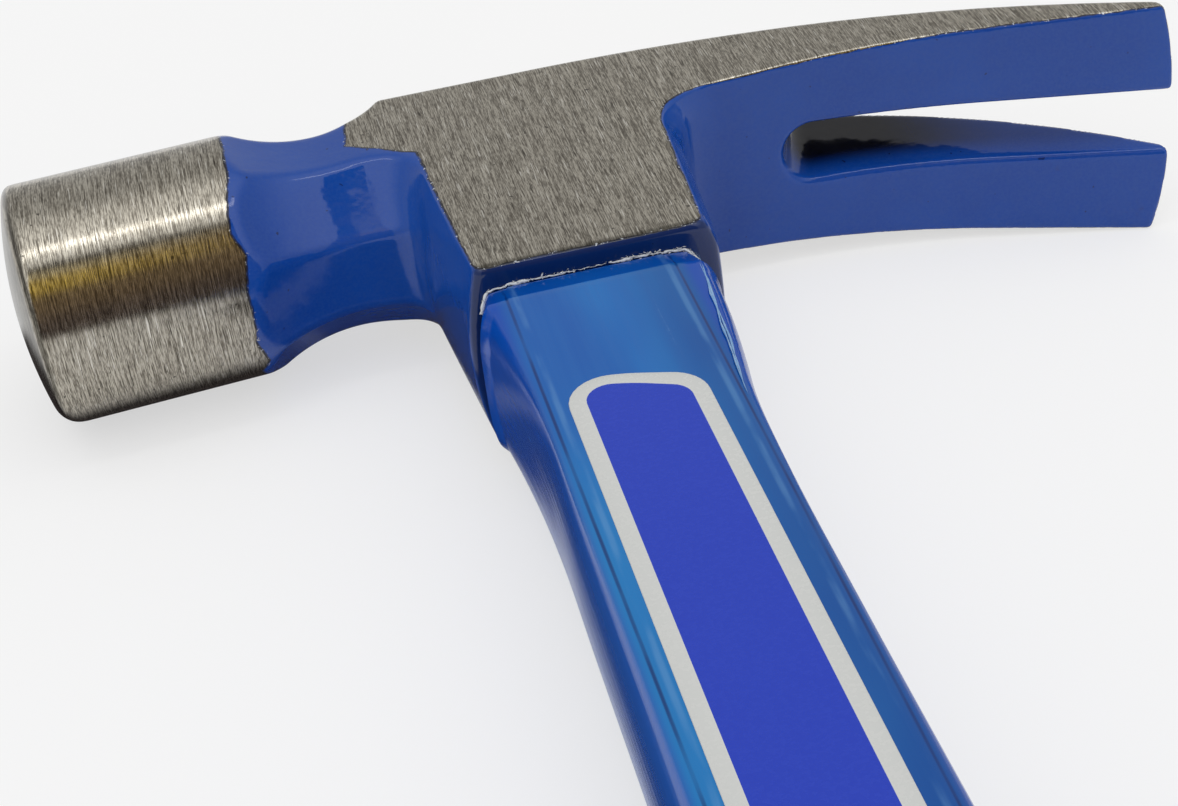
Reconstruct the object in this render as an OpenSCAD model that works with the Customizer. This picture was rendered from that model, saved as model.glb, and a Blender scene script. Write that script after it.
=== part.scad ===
// Straight claw hammer with a forged head and a bonded fibreglass handle.
// The hammer lies on its side: +X runs to the claws, +Y to the top of the head, +Z up from the bench.
// Every piece is drawn about the crossing of the poll axis and the handle axis, then set on the bench.

/* [Poll] */
// Diameter of the ground poll
poll_d = 30; // [26:0.5:34]
// Length of the ground poll, from the striking face to the paint line
poll_len = 29; // [23:0.5:32]
// Distance from the handle axis to the striking face, along the poll axis
poll_reach = 65.3; // [61:0.1:68]
// Droop of the poll axis towards the handle, in degrees
poll_droop = 4.2; // [0:0.1:6]
// Width of the bevel round the striking face
face_bevel = 2; // [1:0.1:2.6]
// Radius of the crowned striking face
face_crown_r = 45; // [40:1:80]

/* [Neck] */
// Neck size across opposite flats of its octagon, at the waist
neck_flats = 22.4; // [20:0.2:23.4]
// Distance from the handle axis to the waist
neck_waist_x = 25.3; // [24.5:0.1:27]
// Radius of the waist's hollow curve
neck_waist_r = 19; // [18:0.5:24]
// Step from the ground poll down to the painted neck
neck_step = 0.2; // [0.1:0.05:0.5]

/* [Eye and cheeks] */
// Thickness across the two ground cheeks
cheek_t = 24; // [23.5:0.1:26]
// Height of the crown above the poll axis
crown_h = 12; // [11:0.2:14]
// Width of the chamfers between crown and cheeks
crown_chamfer = 4.2; // [3.4:0.1:4.4]
// Drop from the poll axis to the lower edge of the cheeks
cheek_foot = 36.2; // [32:0.2:40]
// Distance from the handle axis to the front wall, at the foot of the cheeks
eye_front = 15.1; // [14.6:0.1:17]
// Distance from the handle axis to the back wall, at the foot of the cheeks
eye_back = 16.6; // [15.4:0.1:18]
// Lean of the front and back walls, in degrees
wall_lean = 7; // [4:0.5:9]
// Chamfer of the eye's upright corners, measured along the cheek
corner_x = 2.6; // [1:0.1:3.2]
// Chamfer of the eye's upright corners, measured along the wall
corner_z = 4; // [2:0.1:6]
// Height of the skirt below the cheeks
skirt_h = 4.8; // [4:0.2:8.8]
// Lean of the skirt's front and back walls, in degrees
skirt_lean = 12; // [9.5:0.5:14]
// Length of the eye, front to back
eye_w = 21; // [20:0.2:22.4]
// Width of the eye, cheek to cheek
eye_t = 14; // [12.4:0.2:15]
// Corner radius of the eye
eye_r = 5; // [4:0.2:6]

/* [Claws] */
// Distance from the handle axis to the claw tips
claw_reach = 79.6; // [74:0.2:84]
// Width across both claws at the tips
claw_tip_w = 31.8; // [28:0.2:34]
// How far the outer corners of the tips stand back
tip_back = 1.5; // [0.5:0.1:3]
// Drop from the poll axis to the top edge of the tips
tip_drop = 15.8; // [13.5:0.1:16.4]
// Distance from the handle axis to where the claws start to flare
flare_x = 19; // [16:0.5:24]
// Distance from the handle axis to where the crown starts to fall
fall_x = 4; // [0:0.5:8]
// Drop from the poll axis to the highest line of the underside
under_drop = 6.3; // [5:0.1:7]
// Distance from the handle axis to that highest line
under_x = 28; // [26:0.5:31]
// Radius of the underside's bend
under_r = 105; // [102:1:120]
// Distance from the handle axis to the end of the underside's bend
bend_x = 58; // [52:0.5:60]
// Size of the hollow where the underside turns down into the eye's back wall
root_fillet = 4; // [2:0.2:5]
// Width of the nail slot on the underside
slot_w = 8.5; // [7.6:0.1:9.4]
// Distance from the handle axis to the root of the nail slot
slot_root_x = 31.7; // [30:0.1:38]
// Lean of the nail slot's walls, in degrees
slot_lean = 8; // [4:0.5:8.5]

/* [Handle] */
// Length of the hammer, from crown to butt
overall_len = 345; // [320:1:370]
// Width of the fibreglass core, front to back
core_w = 19; // [17:0.1:19.4]
// Thickness of the fibreglass core
core_t = 12; // [10:0.1:12.3]
// Corner radius of the core
core_r = 4; // [3:0.1:4.5]
// Depth of the bond poured over the end of the core
top_fill = 2.6; // [1.5:0.1:5]
// Distance from the butt to the end of the core and its jacket
core_inset = 12; // [8:0.5:20]
// Thickness of the handle jacket
jacket_t = 20.6; // [17:0.2:21.4]
// Width of the jacket at the head
jacket_head_w = 25.6; // [24.2:0.2:26.6]
// Width of the jacket at its waist
jacket_waist_w = 22.6; // [21.6:0.2:23.6]
// Width of the jacket inside the grip
jacket_tail_w = 24; // [22:0.2:25]
// Distance from the poll axis to the jacket's waist
jacket_waist_y = 77; // [66:1:100]
// Chamfer of the jacket's long edges, across the face
jacket_edge_x = 3; // [2:0.1:3.6]
// Chamfer of the jacket's long edges, across the flank
jacket_edge_z = 4; // [3:0.1:5]

/* [Grip] */
// Length of the rubber grip
grip_len = 150; // [120:1:165]
// Width of the grip at its mouth
grip_mouth_w = 29; // [27.4:0.2:32]
// Thickness of the grip at its mouth
grip_mouth_t = 25.4; // [24.6:0.1:27]
// Distance from the mouth to the grip's swell
grip_swell_y = 62; // [50:1:80]
// Width of the grip at its swell
grip_swell_w = 36; // [33:0.2:40]
// Thickness of the grip at its swell
grip_swell_t = 28.4; // [26:0.1:29.6]
// Distance from the butt to the waist above it
grip_waist_y = 34; // [28:1:42]
// Width of the grip at that waist
grip_waist_w = 33; // [30:0.2:36]
// Thickness of the grip at that waist
grip_waist_t = 27.2; // [26:0.1:29]
// Width of the butt
butt_w = 42; // [37:0.2:46]
// Thickness of the butt, which lies level with the claws
butt_t = 31.8; // [30.2:0.2:34]
// Rounding of the butt's end
butt_round = 6; // [3:0.5:8]

/* [Labels] */
// Width of each label
label_w = 14.4; // [12:0.2:14.8]
// Length of each label
label_len = 86; // [60:1:100]
// Distance from the poll axis to the upper end of the labels
label_y = 59.6; // [56:0.2:72]
// Shift of the labels towards the poll
label_shift = 0.8; // [0:0.1:0.9]
// Thickness of each label
label_t = 0.4; // [0.3:0.05:0.6]
// Corner radius of each label
label_r = 4.2; // [2:0.1:5.8]

/* [Fits] */
// Gap kept between pieces that are bonded or moulded together
seat_gap = 0.1; // [0.05:0.01:0.2]
// Dip of the bond below the crown
bond_dip = 0.5; // [0.3:0.1:1]

/* [Hidden] */
$fn = 96;
// Steps along each drawn curve
curve_steps = 14;
// Turn of the neck's curve past its waist, in degrees, which ends inside the eye's block
neck_flare = 55;
// Steps along each stretch of the handle's jacket and grip
handle_steps = 9;
// Points round the grip's section
grip_points = 40;
// Power of the grip's section, which is 2 for an ellipse
grip_power = 2.5;
// Reach of the cutting shapes beyond what they cut
far = 200;
// Spare left on a piece where another shape trims it
spare = 1;
cheek_z = cheek_t / 2;
claw_z = claw_tip_w / 2;
jacket_z = jacket_t / 2;
waist_r = neck_flats / 2;
poll_r = poll_d / 2;
face_r = poll_r - face_bevel;
skirt_foot = cheek_foot + skirt_h;
// The bend of the underside ends in a straight run to the tips
bend_angle = asin((bend_x - under_x) / under_r);
tip_under = under_drop + arc_fall(under_r, bend_x - under_x) + (claw_reach - bend_x) * tan(bend_angle);
// The nail slot is cut square to the line from the highest part of the underside to the tips,
// and its cutter reaches this far above and below that line
slot_tilt = atan((tip_under - under_drop) / (claw_reach - under_x));
slot_above = 22;
slot_below = 12;
// Distance of the crown's chamfers from the poll axis, at the eye and at the tips
chamfer_d = (crown_h - crown_chamfer + cheek_z) / sqrt(2);
chamfer_tip_d = (claw_z - tip_drop) / sqrt(2);
crown_r = chord_radius(claw_reach - fall_x, crown_h + tip_drop);
chamfer_r = chord_radius(claw_reach - fall_x, chamfer_d - chamfer_tip_d);
// Ends of the handle's pieces
butt_y = crown_h - overall_len;
grip_y = butt_y + grip_len;
core_top_y = crown_h - top_fill;
core_end_y = butt_y + core_inset;
// Middle of the hammer's outline, and its height above the bench
face_x = (poll_reach - face_crown_r) * cos(poll_droop) + face_crown_r;
poll_top_y = poll_r * cos(poll_droop) - (poll_reach - poll_len) * sin(poll_droop);
middle_x = (claw_reach - face_x) / 2;
middle_y = (max(crown_h, poll_top_y) + butt_y) / 2;
bench_z = max(claw_z, butt_t / 2, poll_r);

// Fall of an arc of radius r at a distance along its level tangent
function arc_fall(r, along) = r - sqrt(r * r - along * along);
// Radius of the arc that starts level and falls by drop over a distance along
function chord_radius(along, drop) = (along * along + drop * drop) / (2 * drop);
// Points of an arc from x0 to x1 that is level at x0, y0 and falls away from it
function falling_arc(x0, y0, r, x1) =
    [for (i = [0 : curve_steps]) let (along = (x1 - x0) * i / curve_steps) [x0 + along, y0 - arc_fall(r, along)]];
// Points of a curve from a to c that leaves a and reaches c along the lines to b
function bend(a, b, c) =
    [for (i = [0 : curve_steps]) let (t = i / curve_steps) a * (1 - t) * (1 - t) + b * 2 * t * (1 - t) + c * t * t];
function reversed(points) = [for (i = [len(points) - 1 : -1 : 0]) points[i]];
function mirrored(points) = concat(points, reversed([for (p = points) [p[0], -p[1]]]));
// Smooth step from a to b
function ease(a, b, t) = a + (b - a) * (3 - 2 * t) * t * t;
// Stations of [y, width, thickness] that run smoothly through the given ones
function eased(stations) = [
    for (k = [0 : len(stations) - 2], i = [0 : handle_steps - 1])
        let (a = stations[k], b = stations[k + 1], t = i / handle_steps)
            [a[0] + (b[0] - a[0]) * t, ease(a[1], b[1], t), ease(a[2], b[2], t)],
    stations[len(stations) - 1]
];
// X of the eye's back wall at a height y
function back_wall(y) = eye_back + (y + cheek_foot) * tan(wall_lean);

module on_bench() translate([-middle_x, -middle_y, bench_z]) children();
module along_poll() rotate([0, 0, poll_droop]) children();
// Extrudes an outline drawn in X and Z along Y
module along_y(from, to) translate([0, to, 0]) rotate([90, 0, 0]) linear_extrude(to - from) children();
// Extrudes an outline drawn in Y and Z along X
module along_x(from, to) translate([from, 0, 0]) rotate([90, 0, 90]) linear_extrude(to - from) children();
// Extrudes an outline drawn in X and Y evenly about Z = 0
module across(width) linear_extrude(width, center = true) children();

module rounded_rect(w, t, r) {
    corners = [[w / 2 - r, t / 2 - r, 0], [r - w / 2, t / 2 - r, 90], [r - w / 2, r - t / 2, 180], [w / 2 - r, r - t / 2, 270]];
    polygon([for (c = corners, i = [0 : 6]) let (a = c[2] + 15 * i) [c[0] + r * cos(a), c[1] + r * sin(a)]]);
}

// Skin over rings of points, first ring to last
module loft(rings) {
    n = len(rings[0]);
    last = len(rings) - 1;
    sides = [
        for (k = [0 : last - 1], i = [0 : n - 1])
            let (a = k * n + i, b = k * n + (i + 1) % n)
                each [[a, b, b + n], [a, b + n, a + n]]
    ];
    ends = [reversed([for (i = [0 : n - 1]) i]), [for (i = [0 : n - 1]) last * n + i]];
    polyhedron([for (ring = rings) each ring], concat(sides, ends));
}

// Ground cylinder with a bevelled and crowned striking face
module poll() {
    crown = arc_fall(face_crown_r, face_r);
    outline = [[0, 0], [face_r - crown, 0], [poll_r, crown + face_bevel], [poll_r, poll_len], [0, poll_len]];
    along_poll() translate([-poll_reach, 0, 0]) intersection() {
        rotate([0, 90, 0]) rotate_extrude() polygon(outline);
        translate([face_crown_r, 0, 0]) sphere(face_crown_r);
    }
}

// Octagonal neck: four waisted slabs, kept inside the poll's own cylinder
module neck() {
    start = [poll_len / 2 - poll_reach, poll_r + spare];
    runout = acos(1 - (start[1] - waist_r) / neck_waist_r);
    steps = 2 * curve_steps;
    waist = [
        for (i = [0 : steps]) let (a = -runout + (runout + neck_flare) * i / steps)
            [neck_waist_r * sin(a) - neck_waist_x, waist_r + neck_waist_r * (1 - cos(a))]
    ];
    outline = mirrored(concat([start], waist));
    along_poll() intersection() {
        rotate([0, -90, 0]) cylinder(r = poll_r - neck_step, h = -start[0]);
        slab(0) polygon(outline);
        slab(45) polygon(outline);
        slab(90) polygon(outline);
        slab(135) polygon(outline);
    }
}

// An outline drawn in X and Y, extruded across and turned about the poll axis
module slab(turn) rotate([turn, 0, 0]) across(far) children();

// All that lies in front of a leaning wall, with the wall's upright corners chamfered
module inside_wall(foot_x, lean) {
    side = [[-far, cheek_z + corner_z], [-2 * corner_x, cheek_z + corner_z], [0, cheek_z - corner_z]];
    translate([foot_x, -cheek_foot, 0]) rotate([0, 0, -lean])
        along_y(-far, far) polygon(mirrored(side));
}

// The eye's block, from the crown to the foot of the skirt
module eye() {
    intersection() {
        along_y(-skirt_foot - spare, crown_h + spare) square(far, center = true);
        inside_wall(eye_back, wall_lean);
        inside_wall(eye_back, skirt_lean);
        mirror([1, 0, 0]) inside_wall(eye_front, wall_lean);
        mirror([1, 0, 0]) inside_wall(eye_front, skirt_lean);
    }
}

// Both claws before the slot is cut, with the hollow that joins them to the eye
module claws() {
    root = [back_wall(-under_drop), -under_drop];
    hollow_y = -under_drop - root_fillet;
    hollow = bend(root + [root_fillet, 0], root, [back_wall(hollow_y), hollow_y]);
    underside = reversed(falling_arc(under_x, -under_drop, under_r, bend_x));
    end_x = claw_reach + spare;
    across(claw_tip_w + 2 * spare) polygon(concat(
        [[0, crown_h + spare], [end_x, crown_h + spare], [end_x, -tip_under - spare * tan(bend_angle)]],
        underside, hollow, [[0, hollow_y]]
    ));
}

// All that lies under the crown, or under one of its chamfers
module under_crown(turn, level, fall_r) {
    start = [[-far, -far], [-far, far], [-neck_waist_x, far], [-neck_waist_x, level]];
    top = falling_arc(fall_x, level, fall_r, claw_reach);
    end = [[far, top[curve_steps][1]], [far, -far]];
    slab(turn) polygon(concat(start, top, end));
}

// Seen from the top: the cheeks' planes and the flare of the claws
module between_cheeks() {
    side = [[-far, far], [-neck_waist_x, far], [-neck_waist_x, cheek_z], [flare_x, cheek_z],
        [claw_reach - tip_back, claw_z], [claw_reach, slot_w / 2 + 1]];
    along_y(-far, far) polygon(mirrored(side));
}

// All that lies above the skirt's underside, which rises at 45 degrees to the foot of each cheek
module above_skirt(gap) {
    ridge_z = cheek_z - skirt_h;
    side = [[-skirt_foot, ridge_z], [-skirt_foot + far, ridge_z + far]];
    translate([0, -gap * sqrt(2), 0]) along_x(-far, far) polygon(mirrored(side));
}

// U-shaped slot whose walls lean together towards the top of the claws
module nail_slot() {
    lean = tan(slot_lean);
    below_z = slot_w / 2 + slot_below * lean;
    above_z = slot_w / 2 - slot_above * lean;
    start = (slot_root_x - under_x) / cos(slot_tilt) + slot_w / 2;
    translate([under_x, -under_drop, 0]) rotate([0, 0, -slot_tilt]) translate([start, 0, 0]) {
        translate([0, -slot_below, 0]) rotate([-90, 0, 0])
            cylinder(h = slot_below + slot_above, r1 = below_z, r2 = above_z);
        along_x(0, claw_reach) polygon(mirrored([[-slot_below, below_z], [slot_above, above_z]]));
    }
}

// Forged head: poll, neck, eye, skirt and claws in one piece of steel
module head() {
    color([0.18, 0.3, 0.62]) on_bench() difference() {
        union() {
            poll();
            intersection() {
                union() {
                    neck();
                    eye();
                    claws();
                }
                under_crown(0, crown_h, crown_r);
                under_crown(45, chamfer_d, chamfer_r);
                under_crown(-45, chamfer_d, chamfer_r);
                between_cheeks();
                above_skirt(0);
            }
        }
        nail_slot();
        along_y(-far, far) rounded_rect(eye_w, eye_t, eye_r);
    }
}

// The core's section, grown by a gap
module core_section(gap = 0) rounded_rect(core_w + 2 * gap, core_t + 2 * gap, core_r + gap);

// Fibreglass rod that runs through the eye and down to the butt
module handle_core() {
    color([0.8, 0.78, 0.66]) on_bench() along_y(core_end_y, core_top_y) core_section();
}

// Cured epoxy that fills the eye round the core and over its end
module epoxy_bond() {
    color([0.86, 0.85, 0.8]) on_bench() difference() {
        intersection() {
            along_y(-far, crown_h - bond_dip)
                rounded_rect(eye_w - 2 * seat_gap, eye_t - 2 * seat_gap, eye_r - seat_gap);
            above_skirt(0);
        }
        along_y(-far, core_top_y + seat_gap) core_section(seat_gap);
    }
}

// Section of the jacket: a rectangle with chamfered corners
function jacket_side(w, gap = 0) = let (x = w / 2 + gap, z = jacket_z + gap)
    [[-x, z - jacket_edge_z], [jacket_edge_x - x, z], [x - jacket_edge_x, z], [x, z - jacket_edge_z]];

// Plastic jacket moulded over the core, cut to fit the skirt and recessed for the labels
module handle_jacket() {
    stations = eased([
        [skirt_h - cheek_foot, jacket_head_w, jacket_t],
        [-skirt_foot, jacket_head_w, jacket_t],
        [-jacket_waist_y, jacket_waist_w, jacket_t],
        [grip_y, jacket_tail_w, jacket_t],
        [core_end_y, jacket_tail_w, jacket_t]
    ]);
    rings = [for (s = stations) [for (p = mirrored(jacket_side(s[1]))) [p[0], s[0], p[1]]]];
    color([0.1, 0.36, 0.7]) on_bench() difference() {
        loft(rings);
        along_y(-far * 2, far) core_section(seat_gap);
        above_skirt(seat_gap);
        label_plate(seat_gap);
        mirror([0, 0, 1]) label_plate(seat_gap);
    }
}

// Rubber sleeve with a swell for the palm and a flared butt
module grip() {
    stations = eased([
        [grip_y, grip_mouth_w, grip_mouth_t],
        [grip_y - grip_swell_y, grip_swell_w, grip_swell_t],
        [butt_y + grip_waist_y, grip_waist_w, grip_waist_t],
        [butt_y + butt_round, butt_w, butt_t]
    ]);
    butt = [
        for (i = [1 : handle_steps]) let (a = 90 * i / handle_steps, inset = 2 * butt_round * (1 - cos(a)))
            [butt_y + butt_round * (1 - sin(a)), butt_w - inset, butt_t - inset]
    ];
    rings = [for (s = concat(stations, butt)) grip_ring(s[0], s[1] / 2, s[2] / 2)];
    color([0.1, 0.1, 0.11]) on_bench() difference() {
        loft(rings);
        along_y(core_end_y - seat_gap, far) polygon(mirrored(jacket_side(jacket_tail_w, seat_gap)));
    }
}

// One ring of the grip: a rounded oval
function grip_ring(y, x, z) = [
    for (i = [0 : grip_points - 1]) let (a = -360 * i / grip_points, c = cos(a), s = sin(a))
        [x * sign(c) * pow(abs(c), 2 / grip_power), y, z * sign(s) * pow(abs(s), 2 / grip_power)]
];

// Flat plate of a label on the upper face, grown by a gap
module label_plate(gap = 0) {
    translate([-label_shift, -label_y - label_len / 2, jacket_z - label_t - gap]) linear_extrude(label_t + 2 * gap)
        rounded_rect(label_w + 2 * gap, label_len + 2 * gap, label_r + gap);
}

// Label on the upper face of the jacket
module label_front() {
    color([0.85, 0.85, 0.82]) on_bench() label_plate();
}

// Label on the lower face of the jacket
module label_back() {
    color([0.85, 0.85, 0.82]) on_bench() mirror([0, 0, 1]) label_plate();
}

head();
epoxy_bond();
handle_core();
handle_jacket();
grip();
label_front();
label_back();
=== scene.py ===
# Straight claw hammer: finished surfaces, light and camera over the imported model.
# Sizes are in millimetres in the source's frame, and in_row() takes them to the row frame.
# Stage, light and camera are in metres in the row frame.
import math
import random
import bpy
import numpy as np
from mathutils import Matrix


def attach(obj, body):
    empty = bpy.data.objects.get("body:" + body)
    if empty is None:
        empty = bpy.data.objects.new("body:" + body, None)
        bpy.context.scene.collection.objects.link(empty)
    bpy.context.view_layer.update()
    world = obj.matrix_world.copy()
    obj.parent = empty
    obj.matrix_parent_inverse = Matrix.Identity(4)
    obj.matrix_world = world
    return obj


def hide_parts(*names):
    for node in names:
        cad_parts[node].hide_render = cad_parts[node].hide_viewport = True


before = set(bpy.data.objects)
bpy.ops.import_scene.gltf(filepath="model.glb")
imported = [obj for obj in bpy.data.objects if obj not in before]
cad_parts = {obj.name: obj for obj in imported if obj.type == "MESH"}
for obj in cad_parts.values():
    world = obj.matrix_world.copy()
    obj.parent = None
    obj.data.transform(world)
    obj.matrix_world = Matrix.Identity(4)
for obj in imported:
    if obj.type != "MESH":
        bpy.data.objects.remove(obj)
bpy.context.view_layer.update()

# Middle of the outline and height of the poll axis, as in the source
MIDDLE = np.array([7.177, -160.349, -15.9])
MM = 0.001

# Poll and its striking face
POLL_R = 15.0
POLL_REACH = 65.25
POLL_DROOP = math.radians(4.2)
FACE_BEVEL = 0.25
FACE_CROWN_R = 52.0
# Rounding of the face's rim, and what wear adds low and high (amount, then its rise)
FACE_ROUND = 0.25
WORN_LOW = (2.0, 4.0, 15.0)
WORN_HIGH = (0.8, 8.0, 15.0)
# Neck: an octagon that swells from its waist along three radii
NECK_FLAT = 11.35
NECK_TOP_FLAT = 0.2
NECK_WAIST = 25.3
NECK_R_POLL = 21.7
NECK_R_CROWN = 15.0
NECK_R_UNDER = 24.0
NECK_REACH = 0.9
NECK_TURN = 7.0
NECK_EDGE = 0.7
# Eye: cheeks, crown, and walls to front and back
CHEEK_Z = 12.0
CHEEK_FOOT = 36.2
CROWN = 12.0
CROWN_CHAMFER = 4.2
EYE_FRONT = 14.5
EYE_BACK = 15.9
WALL_BOW = (1.7, 0.6)
WALL_LEAN = math.radians(4.5)
WALL_SOFT = 1.0
SKIRT_LEAN = (math.radians(6), math.radians(12))
# Edges of the cheek, front and back (set-in from the wall's foot, lean), and slope of the chamfer
FRONT_EDGE = (0.8, 0.022)
BACK_EDGE = (1.7, 0.07)
CORNER_SLOPE = 0.65
# Skirt: foot, half width of the level part, and roundings
SKIRT_FOOT = 36.9
SKIRT_RIDGE = 12.0
RIDGE_SOFT = 0.8
SKIRT_ROUND = 1.3
# Hole for the core: half sizes and corner radius
EYE_HOLE = (10.5, 7.0, 5.0)
# Claws: their tips, and where flare and fall begin
CLAW_REACH = 79.55
CLAW_TIP_Z = 15.9
TIP_BACK = 1.5
TIP_DROP = 15.8
FLARE_X = 19.0
FALL_X = 4.0
# Underside of the claws, bent from UNDER_X to BEND_X, and the factor that evens its field
UNDER_DROP = 6.3
UNDER_X = 28.0
UNDER_R = 105.0
BEND_X = 58.0
UNDER_SLOPE = math.tan(math.asin((BEND_X - UNDER_X) / UNDER_R))
UNDER_EVEN = 0.97
# Nail slot: half width, root and lean of its walls
SLOT_HALF = 4.25
SLOT_ROOT = 31.7
SLOT_LEAN = math.tan(math.radians(8))
# Roundings where forged parts meet, stock past the tips, and roundings from grinding
NECK_FILLET = 3.0
CLAW_FILLET = 6.5
SLOT_SOFT = 0.9
HOLE_SOFT = 0.6
TIP_STOCK = 1.0
CHEEK_SOFT = 1.0
FLAT_SOFT = 0.6
GROUND_SOFT = 0.5
# Grid that the head's skin is drawn on, for the upper half
HEAD_LOW = (-67.0, -43.0, 0.0)
HEAD_HIGH = (81.0, 16.0, 17.0)
HEAD_STEP = 0.38
# Least grinding that bares the steel, and greatest distance told from the edge of the paint
PAINT_DEPTH = 0.2
PAINT_FAR = 5.0
# Where the paint ends round the poll: degrees from the upper side, and distance along its axis
POLL_PAINT = ((-90, 38.4), (-75, 38.5), (-60, 37.5), (-49, 38.6), (-35, 38.2), (-20, 37.1), (0, 36.5),
              (45, 36.4), (90, 37.6))
# Front edge of the bare cheek, and the tongue to the neck (place and lean of its edges)
CHEEK_FRONT = -14.0
TONGUE_LEFT = (-21.6, 0.16)
TONGUE_LOW = (-17.2, -0.68)
TONGUE_END = -8.0
# Where along the upper claw more is bare, how much and over what length
CLAW_BARE = (37.0, 0.8, 12.0)
# Painted shade on the skirt's end and along the face's rim, and a painted darker reflection on the face:
# amount, then where it fades
SKIRT_SHADE = (0.72, 0.35, 0.9)
FACE_SHADE = (0.62, 0.4)
RIM_SHADE = (0.65, 0.1, 0.4)
# Painted shade deep in the nail slot, fading by distance from its wall, by depth and by place
SLOT_NEAR = (0.1, 0.35)
SLOT_DEEP = (1.6, 5.0)
SLOT_START = (33.0, 36.5)
SLOT_END = (46.0, 64.0)
SLOT_PALER = 0.75
# Handle: ends of butt, grip and core
BUTT_Y = -333.0
GRIP_Y = -183.0
CORE_END_Y = -321.0
# Jacket: half depth, flat panel and its shift to the poll, then by height the flanks' reach, their
# sway to the claws and how square they are
JACKET_Z = 10.3
JACKET_PANEL = 9.6
JACKET_SHIFT = -0.4
JACKET_WIDTHS = ((-37, 13.9), (-50, 12.8), (-57, 12.15), (-64, 11.55), (-80, 11.25), (-100, 11.5),
                 (-130, 12.1), (-183, 12.6), (-321, 12.8))
JACKET_SWAY = ((-37, 0.2), (-50, 0.65), (-57, 0.5), (-64, 0.1), (-80, -0.45), (-100, -0.45),
               (-130, -0.3), (-183, 0.0), (-321, 0.0))
FLANK_POWER = ((-37, 3.6), (-50, 3.2), (-64, 2.8), (-80, 2.6), (-321, 2.6))
FLANK_START = math.radians(20)
FLANK_STEPS = 12
CREASE_DEPTH = 0.14
CREASE_HALF = 0.22
PANEL_EDGE = 1.0
# Jacket's end: gap to the skirt, slope, rounding, and fall of the corners
SEAT_GAP = 0.1
SHOULDER_LEN = 3.4
SHOULDER_DROP = 0.8
SHOULDER_ROUND = 0.5
SHOULDER_TURNS = 6
SHOULDER_STEPS = (0.35, 0.7, 0.95, 1.0)
SHOULDER_CORNER = 2.2
CORNER_FADE = (3.0, 9.0)
# Where the jacket's rings become level, and how many lead there, to the grip and to the end
JACKET_JOIN = -72.0
JACKET_RINGS = (30, 33, 38)
# Depths in the grip's mouth between which the jacket steps in, and to what share
GRIP_STEP = (0.3, 0.9)
INSIDE_GRIP = 0.94
# Wrinkle: ends, turn round the flank at each, parting of the strands, points, wave and radius
FLASH_SPAN = (-39.0, -68.0)
FLASH_TURN = (math.radians(24), math.radians(5))
FLASH_PART = 0.05
FLASH_STEP = 0.5
FLASH_FADE = 12
FLASH_WAVE = 0.1
FLASH_R = 0.12
FLASH_LEAST = 0.35
FLASH_KNOTS = (6, 3)
# Bead of resin: ring it follows, points left out at its ends, spacing, radius (least, random, at corners),
# lift with its play, and stand-off
BEAD_RING = 3
BEAD_ENDS = (5, 4)
BEAD_STEP = 0.2
BEAD_R = (0.02, 0.2, 0.2)
BEAD_LIFT = (0.25, 0.3)
BEAD_OFF = 0.12
BEAD_KNOTS = (3, 2)
# Chips of resin on each face: number, share near the bead's start and on what part, mean and spread of
# lift and stand-off, and lengths
CHIPS = 420
CHIPS_NEAR = (0.6, 0.36)
CHIP_LIFT = (0.2, 0.3)
CHIP_OFF = (0.12, 0.14)
CHIP_LENGTH = (0.1, 0.4)
# Grip: mouth, butt, half width and half depth by height, grooves, and rings
MOUTH_ROLL = 1.2
MOUTH_END = 1.6
BUTT_ROUND = 6
GRIP_WIDTHS = ((GRIP_Y, 14.5), (GRIP_Y - 62, 18.0), (BUTT_Y + 34, 16.5), (BUTT_Y + BUTT_ROUND, 21.0))
GRIP_DEPTHS = ((GRIP_Y, 12.7), (GRIP_Y - 62, 14.2), (BUTT_Y + 34, 13.6), (BUTT_Y + BUTT_ROUND, 15.9))
GROOVE_SPAN = (14, 128)
GROOVE_PITCH = 6.0
GROOVE_DEPTH = 0.55
GRIP_RINGS = (5, 260, 9)
GRIP_SIDES = 96
GRIP_POWER = 2.5
# Label, with its half width at the upper and lower end
LABEL_X = -0.9
LABEL_Y = -60.0
LABEL_LEN = 86.0
LABEL_HALF = (7.1, 7.7)
LABEL_SLANT = 2.0
LABEL_ARCH = 0.5
ARCH_R = 20
LABEL_R = 4.4
LABEL_BORDER = 1.85
# Rings of the label: trim, and height over the jacket
LABEL_RINGS = ((0.0, -0.3), (0.0, 0.06), (0.08, 0.1), (LABEL_BORDER, 0.1))
# Range that most of a noise lies in
NOISE_RANGE = (0.3, 0.7)
# Surround: light low and high, the rise between them, and lean of its bright pole
SKY_LOW = 0.52
SKY_HIGH = 1.15
SKY_RANGE = (0.55, 0.95)
SKY_LEAN = math.radians(20)
# Floor: share of plain white as seen and as mirrored, and where it turns all white
FLOOR_HALF = 6.0
FLOOR_SEEN = 0.6
FLOOR_MIRRORED = 0.2
FLOOR_FADE = (0.3, 1.1)
# Dim card behind the camera: colours from below, heights where they change, and its left side
CARD_HALF = 0.5
CARD_Y = -1.0
CARD_TOP = 2.7
CARD_FOOT = (0.11, 0.085, 0.075, 1)
CARD_BROWN = (0.20, 0.14, 0.08, 1)
CARD_GOLD = (0.92, 0.66, 0.10, 1)
CARD_PALE = (0.90, 0.80, 0.52, 1)
CARD_DARK = (0.05, 0.045, 0.04, 1)
CARD_RISES = ((0.2, 0.7), (0.85, 1.15), (1.45, 1.75), (1.95, 2.05))
CARD_LEFT = (0.08, -0.05)
# Dark flags on the floor, a painted shadow under the head and poll that only reflections show: middle and
# half size of each, height and step to the next, colour, solid share
SHADOW_FLAGS = (((-0.0305, 0.098), (0.0115, 0.050)), ((-0.060, 0.160), (0.030, 0.018)),
         ((-0.029, 0.152), (0.009, 0.018)))
FLAG_Z = (0.0004, 0.0002)
SHADOW_FLAG_COLOUR = (0.035, 0.03, 0.03, 1)
FLAG_SOLID = 0.65


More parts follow.
